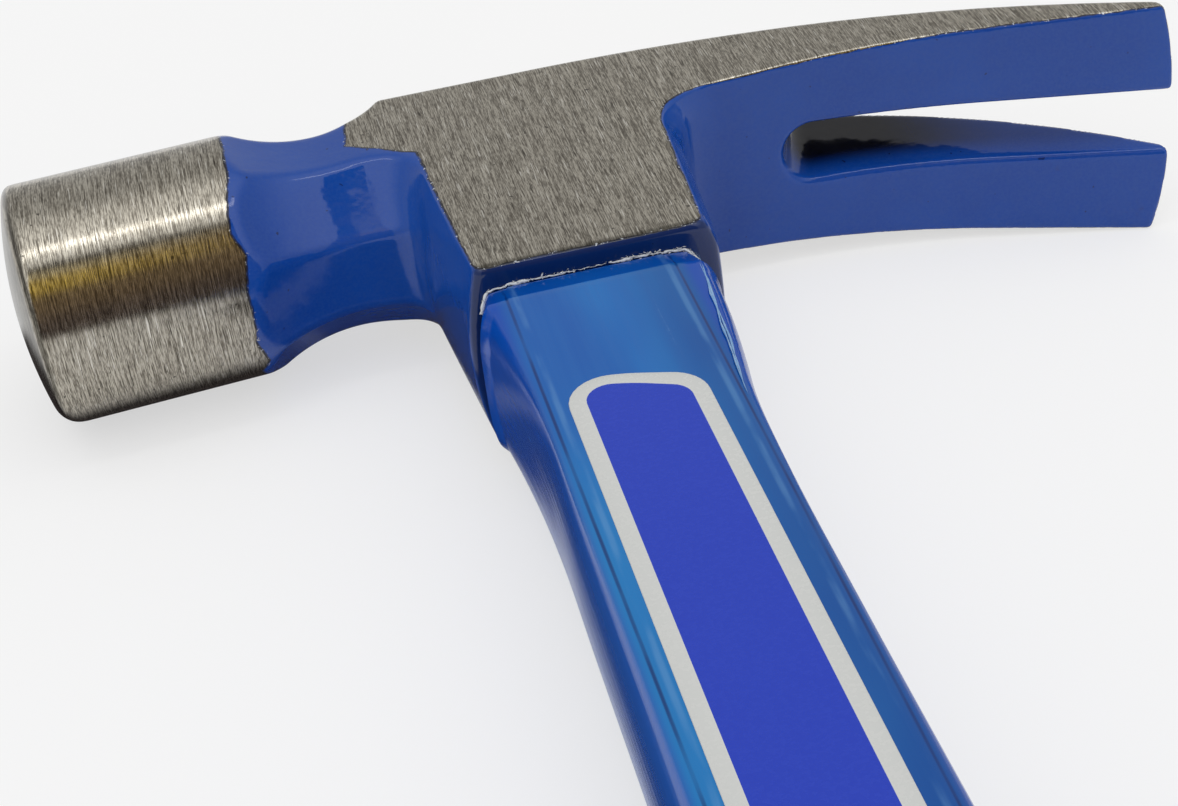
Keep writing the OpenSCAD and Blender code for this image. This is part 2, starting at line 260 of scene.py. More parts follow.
def in_row(points):
    """Points of the source's frame, in millimetres, as metres in the row frame."""
    return (np.asarray(points, dtype=float) - MIDDLE) * MM


def smooth_step(value, start, end):
    """Smooth rise from 0 at start to 1 at end."""
    t = np.clip((value - start) / (end - start), 0, 1)
    return t * t * (3 - 2 * t)


def arc_fall(radius, along):
    """Fall of an arc below its level tangent."""
    return radius - np.sqrt(np.maximum(radius * radius - along * along, 0))


def chord_radius(along, drop):
    """Radius of the arc that starts level and falls by drop."""
    return (along * along + drop * drop) / (2 * drop)


def blend_max(a, b, soft):
    """Greater of two fields, with their edge rounded over the width soft."""
    near = np.maximum(soft - np.abs(a - b), 0) / soft
    return np.maximum(a, b) + near * near * soft / 4


def blend_min(a, b, soft):
    """Smaller of two fields, with a fillet of the size soft between them."""
    return -blend_max(-a, -b, soft)


def unit(vectors):
    """Vectors brought to length 1."""
    return vectors / np.linalg.norm(vectors, axis=-1, keepdims=True)


# Head, as fields that are negative inside

def poll_axes(x, y):
    """Distance along the poll axis and height above it."""
    along = x * math.cos(POLL_DROOP) + y * math.sin(POLL_DROOP)
    above = y * math.cos(POLL_DROOP) - x * math.sin(POLL_DROOP)
    return along, above


def face_rim():
    """Distance of the striking face's rim along the poll axis."""
    return POLL_REACH - arc_fall(FACE_CROWN_R, POLL_R - FACE_BEVEL)


def neck_field(along, above, z):
    """Octagonal neck whose sides swell towards the poll and the eye."""
    past = along + NECK_WAIST
    lift = smooth_step(above, -NECK_TURN, NECK_TURN)
    swell = 1 / (1 / NECK_R_UNDER + (1 / NECK_R_CROWN - 1 / NECK_R_UNDER) * lift)
    bend = np.where(past < 0, NECK_R_POLL, swell)
    reach = np.minimum(np.abs(past), NECK_REACH * bend)
    half = NECK_FLAT + arc_fall(bend, reach)
    steep = np.sqrt(bend * bend - reach * reach) / bend
    straight = blend_max(np.abs(above), np.abs(z) - NECK_TOP_FLAT, NECK_EDGE)
    diagonal = blend_max(np.abs(above + z), np.abs(above - z), NECK_EDGE) / math.sqrt(2)
    side = (blend_max(straight, diagonal, NECK_EDGE) - half) * steep
    return np.maximum(side, along)


def wall_field(outward, height, z, lean, edge, bow):
    """Leaning, bowed wall of the eye with chamfered corners. Outward is the distance past its foot."""
    wall = outward * math.cos(lean) - height * math.sin(lean) + bow * (z / CHEEK_Z) ** 2
    corner = outward + edge[0] - height * edge[1] + (np.abs(z) - CHEEK_Z) * CORNER_SLOPE
    return blend_max(wall, corner / math.hypot(1, CORNER_SLOPE), WALL_SOFT)


def flared_wall(outward, height, z, skirt_lean, edge, bow):
    """Wall of the eye that turns into the skirt, which leans more."""
    upper = wall_field(outward, height, z, WALL_LEAN, edge, bow)
    return blend_max(upper, wall_field(outward, height, z, skirt_lean, edge, bow), WALL_SOFT)


def eye_field(x, y, z):
    """Block round the eye with its flared walls and the skirt below."""
    height = y + CHEEK_FOOT
    front = flared_wall(-x - EYE_FRONT, height, z, SKIRT_LEAN[0], FRONT_EDGE, WALL_BOW[0])
    back = flared_wall(x - EYE_BACK, height, z, SKIRT_LEAN[1], BACK_EDGE, WALL_BOW[1])
    return np.maximum(front, back)


def skirt_field(y, z):
    """Underside of the skirt, which would rise at 45 degrees past the cheeks."""
    slope = (np.abs(z) - SKIRT_RIDGE - y - SKIRT_FOOT) / math.sqrt(2)
    return blend_max(slope, -y - SKIRT_FOOT, RIDGE_SOFT)


def claw_field(x, y):
    """All that lies above the underside of the claws."""
    ahead = np.clip(x - UNDER_X, 0, BEND_X - UNDER_X)
    under = -UNDER_DROP - arc_fall(UNDER_R, ahead) - np.maximum(x - BEND_X, 0) * UNDER_SLOPE
    return np.maximum((under - y) * UNDER_EVEN, -x)


def slot_field(x, y, z):
    """Nail slot with a round root and walls that lean together upwards."""
    tip_under = UNDER_DROP + arc_fall(UNDER_R, BEND_X - UNDER_X) + (CLAW_REACH - BEND_X) * UNDER_SLOPE
    tilt = math.atan((tip_under - UNDER_DROP) / (CLAW_REACH - UNDER_X))
    ahead = (x - UNDER_X) * math.cos(tilt) - (y + UNDER_DROP) * math.sin(tilt)
    above = (x - UNDER_X) * math.sin(tilt) + (y + UNDER_DROP) * math.cos(tilt)
    start = (SLOT_ROOT - UNDER_X) / math.cos(tilt) + SLOT_HALF
    behind = np.minimum(ahead - start, 0)
    return np.hypot(behind, z) - SLOT_HALF + above * SLOT_LEAN


def eye_hole_field(x, z):
    """Rounded hole that the handle's core goes through."""
    half_x, half_z, radius = EYE_HOLE
    across = np.maximum(np.abs(x) - half_x + radius, 0)
    deep = np.maximum(np.abs(z) - half_z + radius, 0)
    return np.hypot(across, deep) - radius


def forging_field(x, y, z):
    """The head as forged and painted, before its flats and poll are ground."""
    along, above = poll_axes(x, y)
    body = blend_min(neck_field(along, above, z), eye_field(x, y, z), NECK_FILLET)
    body = blend_min(body, np.maximum(claw_field(x, y), x - CLAW_REACH - TIP_STOCK), CLAW_FILLET)
    body = blend_max(body, skirt_field(y, z), SKIRT_ROUND)
    body = blend_max(body, -slot_field(x, y, z), SLOT_SOFT)
    return blend_max(body, -eye_hole_field(x, z), HOLE_SOFT)


def poll_field(along, above, z):
    """Ground poll with its crowned face, whose rim is worn low and high."""
    round_r = np.hypot(above, z)
    face = np.hypot(along + POLL_REACH - FACE_CROWN_R, round_r) - FACE_CROWN_R
    bevel = (round_r - along - POLL_R + FACE_BEVEL - face_rim()) / math.sqrt(2)
    worn = WORN_LOW[0] * smooth_step(-z, *WORN_LOW[1:]) + WORN_HIGH[0] * smooth_step(z, *WORN_HIGH[1:])
    soft = FACE_ROUND + worn
    poll = blend_max(blend_max(round_r - POLL_R, bevel, soft), face, soft)
    return np.minimum(poll, -along - NECK_WAIST)


def grinding_field(x, y, z):
    """The ground surfaces: poll, striking face, cheeks, claw sides, crown and tips."""
    wide = np.abs(z)
    flare = (CLAW_TIP_Z - CHEEK_Z) / (CLAW_REACH - TIP_BACK - FLARE_X)
    cheek = blend_min(wide - CHEEK_Z, wide - CHEEK_Z - (x - FLARE_X) * flare, CHEEK_SOFT)
    fall = np.maximum(x - FALL_X, 0)
    top_r = chord_radius(CLAW_REACH - FALL_X, CROWN + TIP_DROP)
    top = (y - CROWN + arc_fall(top_r, fall)) * np.sqrt(np.maximum(1 - (fall / top_r) ** 2, 0.01))
    edge = (CROWN - CROWN_CHAMFER + CHEEK_Z) / math.sqrt(2)
    edge_tip = (CLAW_TIP_Z - TIP_DROP) / math.sqrt(2)
    edge_r = chord_radius(CLAW_REACH - FALL_X, edge - edge_tip)
    chamfer = (y + wide) / math.sqrt(2) - edge + arc_fall(edge_r, fall)
    outer = np.maximum(wide - SLOT_HALF, 0) / (CLAW_TIP_Z - SLOT_HALF)
    end = x - CLAW_REACH + TIP_BACK * outer ** 2
    sides = blend_max(blend_max(cheek, chamfer, FLAT_SOFT), blend_max(top, end, FLAT_SOFT), FLAT_SOFT)
    return np.maximum(np.minimum(sides, x + NECK_WAIST), poll_field(*poll_axes(x, y), z))


def head_field(x, y, z):
    """Distance to the head's finished surface, negative inside."""
    return blend_max(forging_field(x, y, z), grinding_field(x, y, z), GROUND_SOFT)


def skin(field, low, step):
    """Closed mesh of quads round the negative part of a sampled field."""
    inside = field < 0
    cells = np.array(field.shape) - 1
    filled = np.zeros(cells, dtype=int)
    for corner in np.ndindex(2, 2, 2):
        part = tuple(slice(c, c + n) for c, n in zip(corner, cells))
        filled += inside[part]
    mixed = np.argwhere((filled > 0) & (filled < 8))
    total = np.zeros(mixed.shape)
    count = np.zeros(len(mixed))
    for axis in range(3):
        for first, second in np.ndindex(2, 2):
            start = np.zeros(3, dtype=int)
            start[(axis + 1) % 3] = first
            start[(axis + 2) % 3] = second
            ahead = start.copy()
            ahead[axis] = 1
            a = field[tuple((mixed + start).T)]
            b = field[tuple((mixed + ahead).T)]
            crossed = (a < 0) != (b < 0)
            share = np.where(crossed, a / np.where(crossed, a - b, 1), 0)
            total += crossed[:, None] * (start + share[:, None] * (ahead - start))
            count += crossed
    points = low + step * (mixed + total / count[:, None])
    number = np.full(cells, -1)
    number[tuple(mixed.T)] = np.arange(len(mixed))
    faces = []
    for axis in range(3):
        near = np.take(inside, range(cells[axis]), axis)
        ahead = np.take(inside, range(1, cells[axis] + 1), axis)
        edges = np.argwhere(near != ahead)
        second = np.eye(3, dtype=int)[(axis + 1) % 3]
        third = np.eye(3, dtype=int)[(axis + 2) % 3]
        moves = (second + third, third, 0 * third, second)
        quad = np.stack([number[tuple((edges - move).T)] for move in moves], 1)
        outward = near[tuple(edges.T)]
        faces.append(np.where(outward[:, None], quad, quad[:, ::-1]))
    return points, np.concatenate(faces)


def slope_of(field, points):
    """Slope of a field at points."""
    reach = 0.02
    slope = np.empty_like(points)
    for axis in range(3):
        shift = np.zeros(3)
        shift[axis] = reach
        slope[:, axis] = (field(*(points + shift).T) - field(*(points - shift).T)) / (2 * reach)
    return slope


def settle(points, field, rounds=4, least=0.25):
    """Moves points onto the zero of a field. Least guards against a flat slope."""
    for _ in range(rounds):
        slope = slope_of(field, points)
        size = np.maximum((slope ** 2).sum(1), least)
        points = points - (field(*points.T) / size)[:, None] * slope
    return points


def length_of(vectors, least):
    """Lengths of vectors, held above a least value."""
    return np.maximum(np.linalg.norm(vectors, axis=1), least)


def paint_edge(points):
    """Distance in millimetres to the edge of the paint, above zero on bare steel."""
    x, y, z = points.T
    normal = slope_of(head_field, points)
    normal /= length_of(normal, 0.01)[:, None]
    slope = slope_of(forging_field, points)
    across = slope - (slope * normal).sum(1)[:, None] * normal
    edge = (-forging_field(x, y, z) - PAINT_DEPTH) / length_of(across, 0.08)
    along, above = poll_axes(x, y)
    angle, ends = np.array(POLL_PAINT).T
    turn = np.degrees(np.arctan2(above, np.abs(z)))
    edge = np.where(along < -NECK_WAIST, -along - np.interp(turn, angle, ends), edge)
    left = x - TONGUE_LEFT[0] - y * TONGUE_LEFT[1]
    low = (y - TONGUE_LOW[0] - x * TONGUE_LOW[1]) / math.hypot(1, TONGUE_LOW[1])
    tongue = np.minimum(left, low)
    edge = np.maximum(edge, np.minimum(tongue, TONGUE_END - x))
    front = (along > -NECK_WAIST) & (x < TONGUE_END)
    edge = np.where(front, np.minimum(edge, np.maximum(tongue, x - CHEEK_FRONT)), edge)
    middle, more, length = CLAW_BARE
    edge += np.where(z > 0, more * np.exp(-((x - middle) / length) ** 2), 0)
    return np.clip(edge, -PAINT_FAR, PAINT_FAR)


def surface_shade(points):
    """Painted shade on the skirt's end, deep in the nail slot and along the face's rim, and a painted darker
    reflection on the face.
    """
    x, y, z = points.T
    # Painted shade on the skirt's end, where the jacket meets the head
    band = SKIRT_SHADE[0] * (1 - smooth_step(-skirt_field(y, z), *SKIRT_SHADE[1:]))
    # Painted shade deep in the nail slot
    wall = 1 - smooth_step(np.abs(slot_field(x, y, z)), *SLOT_NEAR)
    deep = smooth_step(-claw_field(x, y), *SLOT_DEEP)
    slot = wall * deep * smooth_step(x, *SLOT_START) * (1 - SLOT_PALER * smooth_step(x, *SLOT_END))
    along, _ = poll_axes(x, y)
    rim = face_rim()
    # Painted darker reflection on the striking face, and painted shade along its rim
    face = FACE_SHADE[0] * smooth_step(-along, rim, rim + FACE_SHADE[1])
    line = RIM_SHADE[0] * (1 - smooth_step(np.abs(along + rim - FACE_BEVEL), *RIM_SHADE[1:]))
    return np.maximum(np.maximum(band, slot), np.maximum(face, line))


def link(name, data):
    """New object in the scene."""
    thing = bpy.data.objects.new(name, data)
    bpy.context.scene.collection.objects.link(thing)
    return thing


def new_piece(name, points, faces, materials, replaces=()):
    """Smooth piece from points in millimetres, riding on the hammer's one body."""
    mesh = bpy.data.meshes.new(name)
    mesh.from_pydata(in_row(points).tolist(), [], [list(face) for face in faces])
    mesh.validate()
    mesh.shade_smooth()
    piece = link(name, mesh)
    for material in materials:
        mesh.materials.append(material)
    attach(piece, "root")
    for node in replaces:
        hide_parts(node)
    return piece


def add_values(piece, name, values):
    """Gives each point of a piece a value that its material reads by name."""
    layer = piece.data.attributes.new(name, "FLOAT", "POINT")
    layer.data.foreach_set("value", values.astype(np.float32))


def build_head(material):
    """Forged head, with the edge of its paint and its painted shade told at each point."""
    low = np.array(HEAD_LOW)
    counts = ((np.array(HEAD_HIGH) - low) / HEAD_STEP).astype(int)
    axes = [low[i] + HEAD_STEP * np.arange(counts[i]) for i in range(3)]
    half = head_field(*np.meshgrid(*axes, indexing="ij"))
    whole = np.concatenate([half[:, :, :0:-1], half], axis=2)
    low[2] = -axes[2][-1]
    points, faces = skin(whole, low, HEAD_STEP)
    points = settle(points, head_field)
    piece = new_piece("hammer_head", points, faces.tolist(), [material], ["head"])
    add_values(piece, "paint_edge", paint_edge(points))
    # Painted shade, and a painted darker reflection on the face, which the head's material reads as shade
    add_values(piece, "shade", surface_shade(points))


# Materials

def new_material(name):
    """New material, its node tree and its shader."""
    material = bpy.data.materials.new(name)
    material.use_nodes = True
    tree = material.node_tree
    return material, tree, tree.nodes["Principled BSDF"]


def add_node(tree, kind, inputs=None, **settings):
    """Node of a kind, with settings and with values or links for its inputs."""
    node = tree.nodes.new("ShaderNode" + kind)
    for key, value in settings.items():
        setattr(node, key, value)
    for key, value in (inputs or {}).items():
        socket = node.inputs[key]
        if isinstance(value, bpy.types.NodeSocket):
            tree.links.new(value, socket)
        else:
            socket.default_value = value
    return node


def place_of(tree):
    """Position on the object, in metres in the row frame."""
    return add_node(tree, "TexCoord").outputs["Object"]


def axes_of(tree):
    """Position on the object by axis."""
    return add_node(tree, "SeparateXYZ", {0: place_of(tree)}).outputs


def value_of(tree, name):
    """Value that a piece's points carry under a name."""
    return add_node(tree, "Attribute", attribute_name=name).outputs["Fac"]


def noise(tree, scale, detail=3.0, rough=0.55):
    """Noise between about 0 and 1, with one scale or one for each axis."""
    place = place_of(tree)
    if isinstance(scale, tuple):
        place = add_node(tree, "Mapping", {"Vector": place, "Scale": scale}).outputs[0]
        scale = 1.0
    inputs = {"Vector": place, "Scale": scale, "Detail": detail, "Roughness": rough}
    return add_node(tree, "TexNoise", inputs).outputs[0]


def math_node(tree, operation, a, b=0.0):
    """Result of an operation on one or two values."""
    return add_node(tree, "Math", {0: a, 1: b}, operation=operation).outputs[0]


def times(tree, first, *others):
    """Product of values."""
    for other in others:
        first = math_node(tree, "MULTIPLY", first, other)
    return first


def distance(tree, a, b):
    """Distance of a value from another."""
    return math_node(tree, "ABSOLUTE", math_node(tree, "SUBTRACT", a, b))


def rise(tree, value, start, end, low=0.0, high=1.0):
    """Smooth step of a value from start to end."""
    inputs = {"Value": value, "From Min": start, "From Max": end, "To Min": low, "To Max": high}
    return add_node(tree, "MapRange", inputs, interpolation_type="SMOOTHSTEP").outputs[0]


def spread(tree, value, low=0.0, high=1.0):
    """Value of a noise, spread over the range from low to high."""
    return rise(tree, value, *NOISE_RANGE, low, high)


def layered(tree, colour, *layers):
    """Colour with layers of (share, colour) laid over it in turn."""
    for share, layer in layers:
        colour = add_node(tree, "Mix", {0: share, 6: colour, 7: layer}, data_type="RGBA").outputs[2]
    return colour


def mix_value(tree, share, a, b):
    """Number between two numbers."""
    return add_node(tree, "Mix", {0: share, 2: a, 3: b}, data_type="FLOAT").outputs[0]


def rgb(*screen):
    """Colour written as on a screen, from 0 to 255, as the shader takes it."""
    light = [((c / 255 + 0.055) / 1.055) ** 2.4 if c > 10 else c / 3294 for c in screen]
    return (*light, 1.0)


def dress(tree, shader, colour, rough, bump=None):
    """Gives a shader its colour, its roughness and, if any, its bump of (strength, depth, height)."""
    tree.links.new(colour, shader.inputs["Base Color"])
    tree.links.new(rough, shader.inputs["Roughness"])
    if bump:
        node = add_node(tree, "Bump", dict(zip(("Strength", "Distance", "Height"), bump)))
        tree.links.new(node.outputs[0], shader.inputs["Normal"])


def head_material():
    """Ground steel inside the edge of the paint, and blue enamel on the rest."""
    material, tree, shader = new_material("head_steel_and_enamel")
    # Painted shade on the skirt, in the slot and at the face's rim, and a painted darker reflection on the
    # face
    shade = value_of(tree, "shade")
    wander = math_node(tree, "SUBTRACT", noise(tree, 190.0, 4.0, 0.65), 0.5)
    edge = math_node(tree, "ADD", value_of(tree, "paint_edge"), times(tree, wander, 1.1))
    bare = rise(tree, edge, -0.05, 0.05)
    specks = noise(tree, 2200.0, 2.0)
    # Painted darker reflection on the striking face and painted shade along its rim
    steel = layered(tree, steel_colour(tree), (shade, rgb(40, 38, 32)))
    colour = layered(tree, enamel_colour(tree, shade), (bare, steel))
    colour = paint_lip(tree, colour, edge, specks)
    lines = brush_lines(tree)
    steel_rough = spread(tree, lines, 0.14, 0.22)
    enamel_rough = spread(tree, noise(tree, 160.0), 0.04, 0.12)
    peel = math_node(tree, "ADD", times(tree, noise(tree, 320.0, 2.0), 0.3), times(tree, specks, 0.015))
    height = mix_value(tree, bare, peel, times(tree, lines, 0.05))
    tree.links.new(bare, shader.inputs["Metallic"])
    dress(tree, shader, colour, mix_value(tree, bare, enamel_rough, steel_rough), (0.5, 0.0004, height))
    return material


def paint_lip(tree, colour, edge, specks):
    """Dark broken lip along the edge of the paint, with pale flecks in it."""
    broken = rise(tree, noise(tree, 500.0), 0.3, 0.55, 0.4, 0.95)
    lip = times(tree, rise(tree, edge, -0.3, -0.1), rise(tree, edge, 0.18, 0.04), broken)
    found = rise(tree, specks, 0.63, 0.68)
    fleck = times(tree, rise(tree, edge, -0.5, -0.1), rise(tree, edge, 0.4, 0.1), found)
    return layered(tree, colour, (lip, rgb(24, 26, 40)), (fleck, rgb(196, 200, 206)))


def brush_lines(tree):
    """Fine grinding lines across the hammer's length, some long and some short."""
    long = noise(tree, (8600.0, 340.0, 340.0), 2.0, 0.6)
    short = noise(tree, (9400.0, 1300.0, 1300.0), 2.0, 0.6)
    return mix_value(tree, 0.4, long, short)


def steel_colour(tree):
    """Ground steel with grinding lines, broad bands, bright and dark scratches and small pits."""
    lines = rise(tree, brush_lines(tree), 0.38, 0.62)
    broad = spread(tree, noise(tree, (1100.0, 50.0, 50.0), 2.0), 0.0, 0.2)
    single = noise(tree, (6400.0, 300.0, 300.0), 1.0)
    bright = rise(tree, single, 0.66, 0.72, 0.0, 0.8)
    dark = rise(tree, single, 0.34, 0.28, 0.0, 0.8)
    pits = times(tree, rise(tree, noise(tree, 1100.0, 1.0), 0.74, 0.78), 0.75)
    steel = layered(tree, rgb(104, 98, 88), (lines, rgb(206, 200, 186)), (broad, rgb(154, 146, 133)))
    steel = layered(tree, steel, (bright, rgb(236, 232, 222)), (dark, rgb(56, 50, 42)))
    return layered(tree, steel, (pits, rgb(46, 42, 38)))


def enamel_colour(tree, shade):
    """Blue enamel, darkened by painted shade where the shade says, with faint rusty stains and dark specks.
    """
    cloud = spread(tree, noise(tree, 60.0))
    grain = spread(tree, noise(tree, 2600.0, 2.0), 0.0, 0.45)
    stain = rise(tree, noise(tree, 75.0, 5.0, 0.7), 0.63, 0.74, 0.0, 0.5)
    specks = rise(tree, noise(tree, 1100.0, 1.0), 0.77, 0.8, 0.0, 0.7)
    enamel = layered(tree, rgb(13, 68, 158), (cloud, rgb(18, 75, 166)), (grain, rgb(38, 80, 160)))
    # The last layer is painted shade on the skirt's end and in the nail slot
    return layered(tree, enamel, (stain, rgb(58, 52, 66)), (specks, rgb(12, 18, 52)), (shade, rgb(5, 7, 26)))


def jacket_material():
    """Glossy blue plastic with clouds, long streaks and scuffs, painted shade in its creases and painted
    highlights.
    """
    material, tree, shader = new_material("jacket_plastic")
    flank = value_of(tree, "flank")
    streaks = noise(tree, (900.0, 16.0, 900.0), 4.0)
    cloud = noise(tree, (60.0, 18.0, 60.0), 3.0)
    colour = jacket_colour(tree, flank, streaks, cloud)
    colour = jacket_wear_and_painted_light(tree, colour, flank, streaks)
    dress(tree, shader, colour, spread(tree, cloud, 0.1, 0.18), (0.2, 0.0002, streaks))
    shader.inputs["Specular IOR Level"].default_value = 0.4
    return material


def jacket_colour(tree, flank, streaks, cloud):
    """Blue of the jacket, with painted shade by the claws, a painted highlight by the poll, and deeper
    painted shade on flanks and shoulder.
    """
    spot = axes_of(tree)
    cloud = rise(tree, cloud, 0.3, 0.72)
    streaks = rise(tree, streaks, 0.35, 0.75, 0.0, 0.4)
    # Painted shade on the claws' side of the panel
    claw_side_shade = rise(tree, spot["X"], -0.007, 0.001, 0.0, 0.45)
    # Painted highlight in a strip on the poll's side of the panel, below the shoulder
    poll_side_highlight = rise(tree, spot["X"], -0.010, -0.016)
    poll_side_highlight = times(tree, poll_side_highlight, rise(tree, spot["Y"], 0.105, 0.07, 0.0, 0.45))
    # Painted shade that deepens the blue on the flanks
    flank = rise(tree, flank, 0.1, 1.6, 0.0, 0.75)
    # Painted shade on the jacket's end under the skirt
    shoulder = times(tree, value_of(tree, "shoulder"), 0.7)
    colour = layered(tree, rgb(8, 90, 178), (cloud, rgb(28, 120, 198)), (streaks, rgb(36, 106, 186)))
    colour = layered(tree, colour, (claw_side_shade, rgb(0, 62, 132)), (poll_side_highlight, rgb(30, 142, 204)))
    return layered(tree, colour, (flank, rgb(2, 72, 184)), (shoulder, rgb(0, 72, 172)))


def jacket_wear_and_painted_light(tree, colour, flank, streaks):
    """Pale scuffs, painted highlights in pale broken lines by the creases, and painted shade in the creases.
    """
    broken = noise(tree, (300.0, 60.0, 300.0))
    scuffs = rise(tree, streaks, 0.66, 0.74, 0.0, 0.5)
    scuffs = times(tree, scuffs, rise(tree, noise(tree, 1400.0, 2.0), 0.4, 0.65))
    # Painted highlight in broken lines next to each crease
    crease_highlight = rise(tree, distance(tree, flank, -1.0), 0.5, 0.1)
    crease_highlight = times(tree, crease_highlight, rise(tree, broken, 0.42, 0.62, 0.0, 0.34))
    # Real scuffs and the painted highlight share one pale colour
    pale = math_node(tree, "MAXIMUM", scuffs, crease_highlight)
    # Painted shade along the creases
    crease = rise(tree, distance(tree, flank, -0.05), 0.24, 0.06)
    crease = times(tree, crease, rise(tree, broken, 0.3, 0.6, 0.15, 0.8))
    return layered(tree, colour, (pale, rgb(112, 166, 216)), (crease, rgb(6, 38, 104)))


def mottled(name, pattern, first, second, rough, bump=(), gloss=0.5):
    """Material in two colours that follow a noise, which also sets its roughness and its bump."""
    material, tree, shader = new_material(name)
    cloud = noise(tree, *pattern)
    colour = layered(tree, first, (cloud, second))
    dress(tree, shader, colour, spread(tree, cloud, *rough), bump and (*bump, cloud))
    shader.inputs["Specular IOR Level"].default_value = gloss
    return material


def film_material(name, first, second):
    """Printed film with a fine mottle."""
    return mottled(name, (1800.0,), first, second, (0.22, 0.3), gloss=0.35)


def rubber_material():
    """Matt black rubber with a fine grain and paler clouds."""
    material, tree, shader = new_material("grip_rubber")
    grain = noise(tree, 1500.0, 4.0)
    cloud = noise(tree, 70.0)
    colour = layered(tree, rgb(24, 24, 26), (rise(tree, cloud, 0.3, 0.75), rgb(38, 38, 40)))
    dress(tree, shader, colour, spread(tree, cloud, 0.48, 0.62), (0.4, 0.0002, grain))
    return material


# Handle

def rounded_outline(corners, steps=8):
    """Closed outline through corners (x, y, radius), drawn anticlockwise."""
    points = []
    count = len(corners)
    for i in range(count):
        before, corner, after = (np.array(corners[k % count][:2], dtype=float) for k in (i - 1, i, i + 1))
        radius = corners[i][2]
        back = unit(before - corner)
        ahead = unit(after - corner)
        half = math.acos(np.clip(np.dot(back, ahead), -1, 1)) / 2
        tangent = radius / math.tan(half)
        middle = corner + unit(back + ahead) * radius / math.sin(half)
        first = corner + back * tangent - middle
        last = corner + ahead * tangent - middle
        turn = math.atan2(first[0] * last[1] - first[1] * last[0], np.dot(first, last))
        for k in range(steps + 1):
            a = turn * k / steps
            spin = np.array([[math.cos(a), -math.sin(a)], [math.sin(a), math.cos(a)]])
            points.append(middle + spin @ first)
    return np.array(points)


def loft(rings, close_start=True):
    """Quads between rings of equal length, with a flat end and maybe a flat start."""
    count = len(rings[0])
    faces = []
    for k in range(len(rings) - 1):
        for i in range(count):
            j = (i + 1) % count
            faces.append((k * count + i, k * count + j, (k + 1) * count + j, (k + 1) * count + i))
    if close_start:
        faces.append(tuple(range(count - 1, -1, -1)))
    last = (len(rings) - 1) * count
    faces.append(tuple(range(last, last + count)))
    return np.concatenate(rings), faces


def ease(stations, y):
    """Width at y, running smoothly through stations of (y, width) from the top down."""
    for (y0, w0), (y1, w1) in zip(stations, stations[1:]):
        if y >= y1:
            t = min(max((y0 - y) / (y0 - y1), 0), 1)
            return w0 + (w1 - w0) * t * t * (3 - 2 * t)
    return stations[-1][1]


def curve(stations, y):
    """Value at y on a smooth curve through stations of (y, value) from the top down."""
    at, value = np.array(stations, dtype=float).T
    slope = np.gradient(value, at)
    k = int(np.clip(np.searchsorted(-at, -y) - 1, 0, len(at) - 2))
    step = at[k + 1] - at[k]
    t = np.clip((y - at[k]) / step, 0, 1)
    swing = slope[k] * t * (1 - t) ** 2 - slope[k + 1] * t * t * (1 - t)
    return value[k] + (value[k + 1] - value[k]) * t * t * (3 - 2 * t) + step * swing


def panel_width(side):
    """Reach of the flat panel to its right (1) or left (-1) crease."""
    return JACKET_PANEL + side * JACKET_SHIFT


def flank_point(y, turn, side):
    """Distance out and height of a point on a flank, from the crease at turn 0 to its widest."""
    power = 2 / curve(FLANK_POWER, y)
    panel = panel_width(side)
    spread_out = curve(JACKET_WIDTHS, y) + side * curve(JACKET_SWAY, y) - panel
    return panel + spread_out * math.sin(turn) ** power, JACKET_Z * max(math.cos(turn), 0) ** power


def jacket_quarter(y, side):
    """Quarter of the jacket's section: a flank from its widest, then half the panel."""
    panel = panel_width(side)
    bottom = JACKET_Z - CREASE_DEPTH
    turns = np.linspace(math.pi / 2, FLANK_START, FLANK_STEPS)
    quarter = [flank_point(y, turn, side) for turn in turns]
    quarter += [(panel + CREASE_HALF, bottom), (panel, bottom)]
    return quarter + [(x, JACKET_Z) for x in (panel - CREASE_HALF, panel - PANEL_EDGE, panel / 2)]


def jacket_outline(y):
    """Section of the jacket, anticlockwise from its right side, with a mirrored lower half."""
    top = jacket_quarter(y, 1) + [(-x, z) for x, z in reversed(jacket_quarter(y, -1))]
    return np.array(top + [(x, -z) for x, z in reversed(top[1:-1])])


def shoulder_y(z):
    """Height of the skirt's underside, which the jacket's end follows."""
    return np.maximum(np.abs(z) - SKIRT_RIDGE, 0) - SKIRT_FOOT - SEAT_GAP * math.sqrt(2)


def shoulder_rings():
    """Rings of the jacket's end: a small rounding, then a gentle slope, with falling corners."""
    top_y, top_x = JACKET_WIDTHS[0]
    shape = jacket_outline(top_y)
    past = np.clip(np.abs(shape[:, 0]) - top_x + SHOULDER_CORNER, 0, SHOULDER_CORNER)
    fall = arc_fall(SHOULDER_CORNER, past) * smooth_step(np.abs(shape[:, 1]), *CORNER_FADE)
    steps = []
    for a in np.linspace(0, math.pi / 2, SHOULDER_TURNS):
        inset = SHOULDER_DROP + SHOULDER_ROUND * (1 - math.sin(a))
        steps.append((inset, SHOULDER_ROUND * (1 - math.cos(a))))
    steps += [(SHOULDER_DROP * (1 - t), SHOULDER_ROUND + SHOULDER_LEN * t) for t in SHOULDER_STEPS]
    rings = []
    for inset, down in steps:
        ring = shape * (1 - inset / np.array([top_x, JACKET_Z]))
        height = shoulder_y(ring[:, 1]) - down - fall
        rings.append(np.column_stack([ring[:, 0], height, ring[:, 1]]))
    return rings


def flank_distance(ring):
    """Distance of a ring's points from the nearest crease, above zero on the flank."""
    over = np.abs(ring[:, 0]) - panel_width(np.sign(ring[:, 0]))
    down = np.maximum(JACKET_Z - CREASE_DEPTH - np.abs(ring[:, 2]), 0)
    return np.where(over > 0, np.hypot(over, down), over)


def end_strips(count):
    """Strips across the jacket's end from flank to flank, on both halves."""
    half = count // 2
    strips = []
    for side in (0, half):
        for i in range(half // 2):
            quad = [side + i, (side + half - i) % count, (side + half - i - 1) % count, side + i + 1]
            strips.append(tuple(dict.fromkeys(quad)))
    return [strip for strip in strips if len(strip) > 2]


